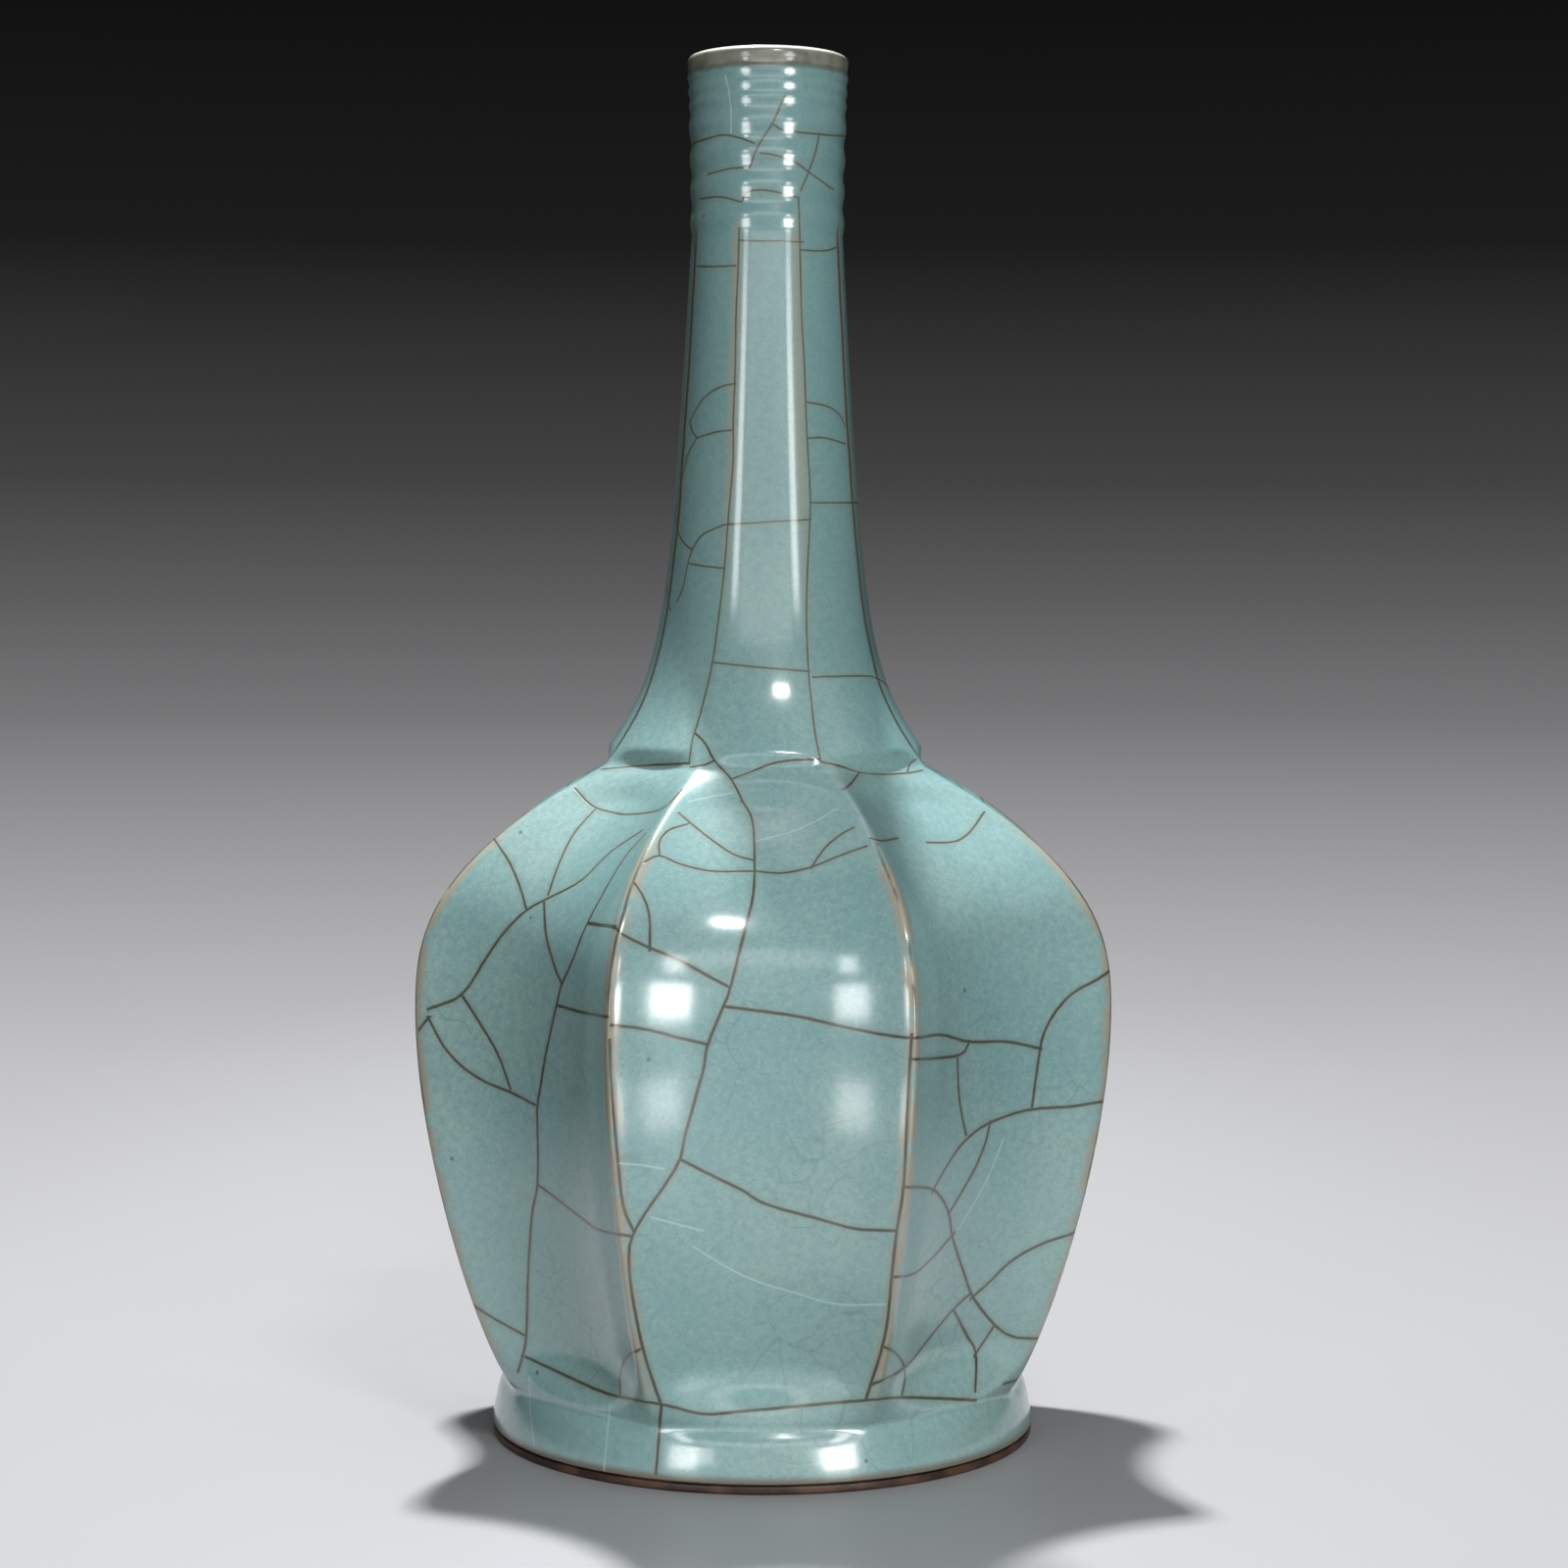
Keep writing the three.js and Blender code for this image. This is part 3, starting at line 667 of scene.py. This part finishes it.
LINES = 3
FAR = 99.0
nearest = np.full((faces, LINES), FAR)
across = np.full((faces, 4, LINES), FAR)
beyond = np.full((faces, 4, LINES), -FAR)
stain = np.zeros((faces, 4, LINES))
REACH = 3.5 * MM
for points, half_width, depth in cracks:
    low, high = points.min(axis=0) - REACH, points.max(axis=0) + REACH
    close = np.where(((middles > low) & (middles < high)).all(axis=1))[0]
    if not len(close):
        continue
    starts, runs = points[:-1], np.diff(points, axis=0)
    lengths = np.linalg.norm(runs, axis=1)
    keep = lengths > 1e-6
    starts, runs, lengths = starts[keep], runs[keep], lengths[keep]
    towards = runs / lengths[:, None]
    best = np.full((len(close), 4), FAR)
    side_of = np.zeros((len(close), 4))
    past = np.full((len(close), 4), -FAR)
    for index, (start, toward, length) in enumerate(zip(starts, towards, lengths)):
        here = np.linalg.norm(middles[close] - start, axis=1) < REACH + length
        if not here.any():
            continue
        offset = corners[close[here]] - start
        run = offset @ toward
        first, last = index == 0, index == len(starts) - 1
        held = np.clip(run, -FAR if first else 0, FAR if last else length)
        gap = np.linalg.norm(offset - np.clip(run, 0, length)[..., None] * toward, axis=2)
        line_gap = np.linalg.norm(offset - held[..., None] * toward, axis=2)
        side = np.sign(np.einsum("fcx,fx->fc", offset, np.cross(toward, face_normals[close[here]])))
        ahead = np.full(run.shape, -FAR)
        if first:
            ahead = np.maximum(ahead, -run)
        if last:
            ahead = np.maximum(ahead, run - length)
        better = gap < best[here]
        best[here] = np.where(better, gap, best[here])
        side_of[here] = np.where(better, side * line_gap, side_of[here])
        past[here] = np.where(better, ahead, past[here])
    reach = best.mean(axis=1)
    order = nearest[close].argmax(axis=1)
    gains = (reach < REACH) & (reach < nearest[close, order])
    rows_in, slots_in = close[gains], order[gains]
    nearest[rows_in, slots_in] = reach[gains]
    across[rows_in, :, slots_in] = side_of[gains] / MM / half_width
    beyond[rows_in, :, slots_in] = past[gains] / MM
    stain[rows_in, :, slots_in] = depth
for name, values in (("crack_across", across), ("crack_beyond", beyond), ("crack_stain", stain)):
    attribute = glaze_mesh.attributes.new(name, "FLOAT_VECTOR", "CORNER")
    attribute.data.foreach_set("vector", np.clip(values, -FAR, FAR).astype(np.float32).ravel())

PANEL_WIDTH_LAYER = "to_ridge"
turns = np.arctan2(vertex_places[:, 0], -vertex_places[:, 1])
from_ridge = turns - (np.floor(turns / (2 * HALF_PANEL)) + 0.5) * 2 * HALF_PANEL
ridge_layer = glaze_mesh.attributes.new(PANEL_WIDTH_LAYER, "FLOAT_VECTOR", "POINT")
ridge_gap = from_ridge * np.hypot(vertex_places[:, 0], vertex_places[:, 1]) / MM
ridge_layer.data.foreach_set("vector", np.stack([ridge_gap, np.abs(ridge_gap), np.abs(np.degrees(turns))], axis=1).astype(np.float32).ravel())

celadon = Finish("celadon")
height = celadon.axes(celadon.place)[2] * 1000.0

# The glaze itself: a milky blue-green, clouded by the fire, with a fine mottling where its bubbles lie.
tone = celadon.lay(celadon.cloud(28, 3).ease(0.35, 0.65), srgb(127, 167, 167), srgb(141, 174, 170))
tone = celadon.lay(celadon.cloud(620, 4).ease(0.38, 0.66) * 0.6, tone, srgb(122, 154, 158))
tone = celadon.lay(celadon.cloud(900, 3, celadon.bent(30, 0.002)).ease(0.5, 0.75) * 0.55, tone, srgb(154, 180, 171))
tone = celadon.lay(celadon.cloud(2200, 2).ease(0.42, 0.75) * 0.45, tone, srgb(104, 138, 140))

signed, unsigned, azimuth = celadon.axes(celadon.carried(PANEL_WIDTH_LAYER))
# Painted shade: above the collar, the panels from about 67 degrees round from the front are painted darker.
painted_neck_side_shade = azimuth.ease(60, 74) * height.ease(152, 176)
tone = celadon.lay(painted_neck_side_shade * 0.3, tone, srgb(72, 88, 84))

# Painted shade: the whole neck and mouth are painted darker, for the dim light on the neck's sides.
tone = celadon.lay(height.ease(150, 176) * 0.44, tone, srgb(96, 132, 132))
# Painted light: the body is painted paler towards the foot, from about 90 mm down, for the light on its lower front.
tone = celadon.lay(height.ease(90, 40) * 0.16, tone, srgb(158, 190, 186))

# A second, faint net of hairlines that never took the stain.
net = {"Vector": celadon.bent(55, 0.006), "Scale": 105.0}
hair = celadon.node("ShaderNodeTexVoronoi", {"feature": "DISTANCE_TO_EDGE"}, net)
hair_shows = celadon.cloud(45, 3).ease(0.44, 0.62)
tone = celadon.lay(hair.ease(0.03, 0.0) * hair_shows * height.ease(125, 100) * 0.3, tone, srgb(92, 118, 118))

# Over a ridge the glaze ran thin, and sandy clay shows through with a dark line along the edge.
wander = (celadon.cloud(70, 3) - 0.5) * 1.6
ridge_off = abs(signed + wander).most(unsigned - 4)
on_body = height.ease(13, 30) * height.ease(140, 126)
on_neck = height.ease(146, 152) * height.ease(266, 258)
thin = ridge_off.ease(2.6, 0.5) * on_body * celadon.cloud(130, 3).ease(0.3, 0.55)
thin = thin.most(ridge_off.ease(2.0, 0.2) * on_neck * height.ease(165, 215) * 0.55)
tone = celadon.lay(thin * 0.8, tone, srgb(163, 148, 126))
ridge_line = ridge_off.ease(0.5, 0.12) * on_body * celadon.cloud(90, 2).ease(0.3, 0.45)
ridge_line = ridge_line * azimuth.ease(40, 50).most(height.ease(95, 104))
ridge_line = ridge_line.most(ridge_off.ease(1.1, 0.25) * on_neck * azimuth.ease(40, 50))
tone = celadon.lay(ridge_line * 0.85, tone, srgb(78, 70, 58))

# It is thin at the lip too, and stained where it ends above the bare rim. A near-white band along the top of the lip is
# a painted highlight.
lip_height = height + (celadon.cloud(220, 3) - 0.5) * 1.2
lip_tone = celadon.lay(celadon.cloud(260, 3).ease(0.35, 0.65), srgb(96, 96, 84), srgb(134, 126, 112))
tone = celadon.lay(lip_height.ease(295.1, 296.3) * 0.85, tone, lip_tone)
tone = celadon.lay(lip_height.ease(294.8, 295.6) * lip_height.ease(296.8, 296.0) * 0.5, tone, srgb(80, 82, 72))
# Painted highlight: the near-white band along the top of the lip.
tone = celadon.lay(height.ease(299.0, 299.6), tone, srgb(222, 221, 210))
tone = celadon.lay(height.ease(4.4, 2.6) * 0.85, tone, srgb(112, 98, 82))

crazed, halo, pale = 0.0, 0.0, 0.0
jitter = (celadon.cloud(500, 3) - 0.5) * 0.6
slim = height.ease(112, 130) * 0.4 + 1
layers = [celadon.axes(celadon.carried(name)) for name in ("crack_across", "crack_beyond", "crack_stain")]
for offset, past_end, depth in zip(*layers):
    off = abs(offset + jitter)
    inside_end = past_end.ease(0.2, -0.1)
    line = (off * slim).ease(1.7, 0.35) * inside_end
    crazed = (line * depth.most(0.0)).most(crazed)
    halo = (off.ease(5.2, 0.6) * inside_end * depth.most(0.0)).most(halo)
    pale = (line * (0.0 - depth).most(0.0)).most(pale)
tone = celadon.lay(halo * 0.3, tone, srgb(134, 132, 112))
tone = celadon.lay(crazed * (celadon.cloud(160, 2) * 0.5 + 0.66), tone, srgb(66, 66, 56))
tone = celadon.lay(pale * 0.6, tone, srgb(176, 206, 202))

# Iron specks and pinholes, few and small.
speck = celadon.node("ShaderNodeTexVoronoi", None, {"Vector": celadon.place, "Scale": 75.0})
tone = celadon.lay(speck.ease(0.05, 0.02) * 0.7, tone, srgb(72, 78, 68))
relief = celadon.cloud(260, 2) * 0.6 - crazed * 0.8 + celadon.cloud(60, 2)
outer_glaze.data.materials.append(celadon.dress({
    "Base Color": tone, "Roughness": celadon.cloud(350, 3) * 0.1 + 0.27, "Coat Weight": 1.0, "Coat Roughness": 0.14,
    "Coat IOR": 1.6, "Specular IOR Level": 0.25,
    "Normal": celadon.node("ShaderNodeBump", None, {"Strength": 0.3, "Distance": 0.00025, "Height": relief}),
}))

inside = Finish("inside_celadon")
deep = inside.lay(inside.cloud(40, 3).ease(0.35, 0.65), srgb(120, 152, 150), srgb(134, 164, 158))
deep = inside.lay(inside.cloud(700, 3).ease(0.4, 0.7) * 0.5, deep, srgb(110, 140, 142))
plates = inside.node("ShaderNodeTexVoronoi", {"feature": "DISTANCE_TO_EDGE"}, {"Vector": inside.bent(60, 0.005), "Scale": 60.0})
deep = inside.lay(plates.ease(0.07, 0.01) * 0.35, deep, srgb(128, 126, 108))
deep = inside.lay(plates.ease(0.024, 0.008) * 0.85, deep, srgb(70, 68, 58))
inside_relief = {"Strength": 0.3, "Distance": 0.0002, "Height": inside.cloud(300, 2)}
inside.dress({
    "Base Color": deep, "Roughness": 0.3, "Coat Weight": 1.0, "Coat Roughness": 0.14, "Coat IOR": 1.7,
    "Normal": inside.node("ShaderNodeBump", None, inside_relief),
})
inner_glaze.data.materials.append(inside.material)
base_glaze.data.materials.append(inside.material)

# THE TABLE AND THE BACKDROP
# A smooth pale table that runs off into a studio backdrop, light below and nearly black above, with no horizon.
TABLE_CLEAR, TABLE_GONE, TABLE_NARROWS = 0.42, 1.1, 3.2
BESIDE = (0.004, 0.004, 0.0045)
BACKDROP = [
    (-0.3, 217), (-0.2, 212), (-0.14, 196), (-0.105, 176), (-0.035, 118), (0, 92), (0.035, 66), (0.105, 28), (0.2, 12),
]
table_mesh = bpy.data.meshes.new("table")
top = bmesh.new()
bmesh.ops.create_circle(top, cap_ends=True, segments=96, radius=1.2)
top.to_mesh(table_mesh)
top.free()
table = bpy.data.objects.new("table", table_mesh)
bpy.context.scene.collection.objects.link(table)


def in_sight(finish):
    """1 for the rays that see the stage: straight from the camera, in a gloss, or through glass."""
    kinds = ("Is Camera Ray", "Is Glossy Ray", "Is Transmission Ray")
    return sum((finish.node("ShaderNodeLightPath", out=kind) for kind in kinds), 0.0)


paper = Finish("table_top")
paper_tone = paper.lay(in_sight(paper), srgb(56, 57, 59), srgb(166, 167, 170))
shiny = paper.node("ShaderNodeBsdfPrincipled", None, {"Base Color": paper_tone, "Roughness": 0.4})
clear = paper.node("ShaderNodeBsdfTransparent", None, {0: (1, 1, 1)})
sideways = paper.node("ShaderNodeVectorMath", {"operation": "MULTIPLY"}, {0: paper.place, 1: (TABLE_NARROWS, 1, 1)})
far = paper.node("ShaderNodeVectorMath", {"operation": "LENGTH"}, {0: sideways}, out="Value")
table_mesh.materials.append(paper.end(
    paper.node("ShaderNodeMixShader", None, {0: far.ease(TABLE_GONE, TABLE_CLEAR), 1: clear, 2: shiny})
))

studio = Finish("studio", "worlds")
bpy.context.scene.world = studio.material
low, high = BACKDROP[0][0], BACKDROP[-1][0]
_, _, upward = studio.axes(studio.place)
level = studio.node("ShaderNodeVectorMath", {"operation": "MULTIPLY"}, {0: studio.place, 1: (1, 1, 0)})
_, ahead, _ = studio.axes(studio.node("ShaderNodeVectorMath", {"operation": "NORMALIZE"}, {0: level}))
sky_height = (upward - low) * (1 / (high - low))
sky = studio.node("ShaderNodeValToRGB", None, {0: sky_height})
stops = sky.socket.node.color_ramp.elements
while len(stops) < len(BACKDROP):
    stops.new(0.5)
for stop, (z, grey) in zip(stops, BACKDROP):
    stop.position = (z - low) / (high - low)
    stop.color = (*srgb(grey, grey, grey * 1.015), 1)
sky = studio.lay(ahead.ease(0.87, 0.965), BESIDE, sky)
studio.end(studio.node("ShaderNodeBackground", None, {0: studio.lay(in_sight(studio), (0.015, 0.015, 0.015), sky)}))

# THE LIGHT
def softbox(name, place, aim, width, height, power):
    """A lamp with a flat square face, turned to face a point."""
    lamp = bpy.data.lights.new(name, "AREA")
    lamp.shape = "RECTANGLE"
    lamp.size, lamp.size_y, lamp.energy = width, height, power
    holder = bpy.data.objects.new(name, lamp)
    holder.location = place
    holder.rotation_euler = (Vector(aim) - Vector(place)).to_track_quat("-Z", "Y").to_euler()
    bpy.context.scene.collection.objects.link(holder)


def round_vase(azimuth, elevation, distance, z=0.15):
    """A point round the vase: degrees from the front to the right, degrees up, and metres from a height on its axis."""
    turn, up = math.radians(azimuth), math.radians(elevation)
    level = distance * math.cos(up)
    return (level * math.sin(turn), -level * math.cos(turn), z + distance * math.sin(up))


def strip(name, azimuth, low, high, width, power):
    """An upright softbox at one side of the camera, between two heights."""
    level = (low + high) / 2
    x, y, _ = round_vase(azimuth, 0, 0.95)
    softbox(name, (x, y, level), (0, 0, level), width, high - low, power)


def bank(name, azimuth, elevation, power):
    """A large overhead lamp that is brightest in its middle, so that the glaze shows no hard edge of it."""
    for size in (1.1, 0.75, 0.4):
        share = size**2 / (1.1**2 + 0.75**2 + 0.4**2)
        softbox(name, round_vase(azimuth, elevation, 1.3), (0, 0, 0.15), size, size, power * share)


strip("left_softbox", -31.5, 0.02, 0.21, 0.19, 1.25)
strip("right_softbox", 31.5, 0.02, 0.21, 0.23, 2.6)
strip("upper_left_softbox", -31.5, 0.3, 0.46, 0.1, 0.5)
strip("upper_right_softbox", 31.5, 0.3, 0.46, 0.12, 0.65)
softbox("left_card", (-0.073, -0.19, 0.033), (0.02, -0.066, 0.084), 0.03, 0.026, 0.012)
softbox("right_card", (0.078, -0.19, 0.033), (-0.02, -0.066, 0.084), 0.03, 0.026, 0.012)
softbox("key_softbox", round_vase(15, 41, 0.98), (0, 0, 0.12), 0.16, 0.07, 2.5)
softbox("front_fill", round_vase(0, 4, 1.2), (0, 0, 0.15), 1.0, 0.5, 1.1)
softbox("high_fill", round_vase(0, 20, 1.2), (0, 0, 0.15), 1.1, 0.22, 1.45)
softbox("top_lamp", round_vase(-165, 68.5, 1.3), (0, 0, 0.1), 0.1, 0.1, 35.0)
bank("back_left_bank", -118, 66, 3.1)
bank("back_right_bank", 125, 69, 2.9)
softbox("right_bank", round_vase(62, 48, 1.2), (0, 0, 0.15), 0.8, 0.8, 1.0)
softbox("back_fill", round_vase(180, 80, 1.3), (0, 0, 0.15), 0.5, 0.5, 0.35)

bpy.context.scene.view_settings.view_transform = "Standard"
